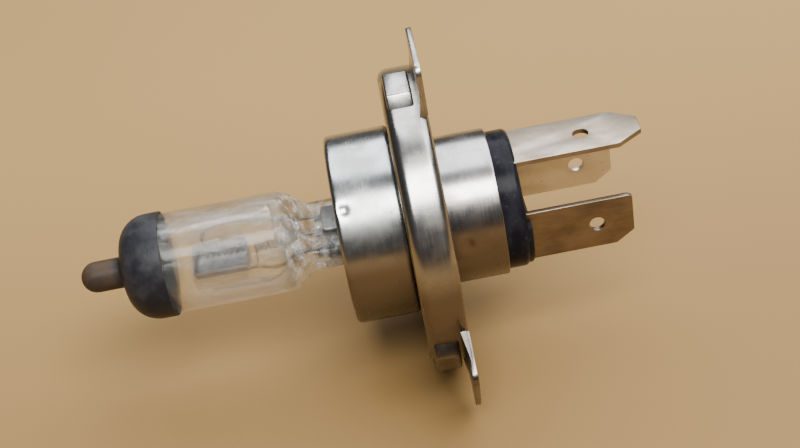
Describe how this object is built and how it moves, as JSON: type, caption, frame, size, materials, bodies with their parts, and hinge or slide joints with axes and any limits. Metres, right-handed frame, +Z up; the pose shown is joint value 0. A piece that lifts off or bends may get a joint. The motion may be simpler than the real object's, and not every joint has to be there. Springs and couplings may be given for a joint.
{
  "type": "headlight bulb",
  "caption": "Twin-filament halogen headlight bulb with a black-tipped glass tube, a lugged prefocus ring and flat plug-in blades.",
  "frame": {"origin": "on the bulb's axis, in the reference plane: the front face of the three lugs", "axes": "+X along the bulb towards its blades (the glass tip points to -X), +Z up through the single top lug and the top blade, +Y to the high beam blade"},
  "size_m": [0.082, 0.0528, 0.0495],
  "materials": {
    "quartz_glass": "clear, fire-polished quartz glass",
    "black_coating": "satin black heat-proof paint",
    "tungsten": "dull drawn tungsten wire",
    "molybdenum": "satin molybdenum",
    "spring_steel": "plain spring steel",
    "plated_steel": "bright nickel-plated pressed steel with light handling wear",
    "black_insulation": "black heat-proof moulding, half gloss",
    "tinned_blade": "tin-plated strip, a little tarnished"
  },
  "bodies": {
    "root": {"glass_envelope": "quartz_glass", "antiglare_coating": "black_coating", "low_beam_filament": "tungsten", "high_beam_filament": "tungsten", "low_beam_shield": "molybdenum", "inner_lead_ground": "molybdenum", "inner_lead_high": "molybdenum", "inner_lead_low": "molybdenum", "foil_ground": "molybdenum", "foil_high": "molybdenum", "foil_low": "molybdenum", "outer_lead_ground": "spring_steel", "outer_lead_high": "spring_steel", "outer_lead_low": "spring_steel", "pinch_clamp": "spring_steel", "front_sleeve": "plated_steel", "reference_ring": "plated_steel", "rear_shell": "plated_steel", "insulator": "black_insulation", "blade_low": "tinned_blade", "blade_ground": "tinned_blade", "blade_high": "tinned_blade"}
  },
  "joints": []
}
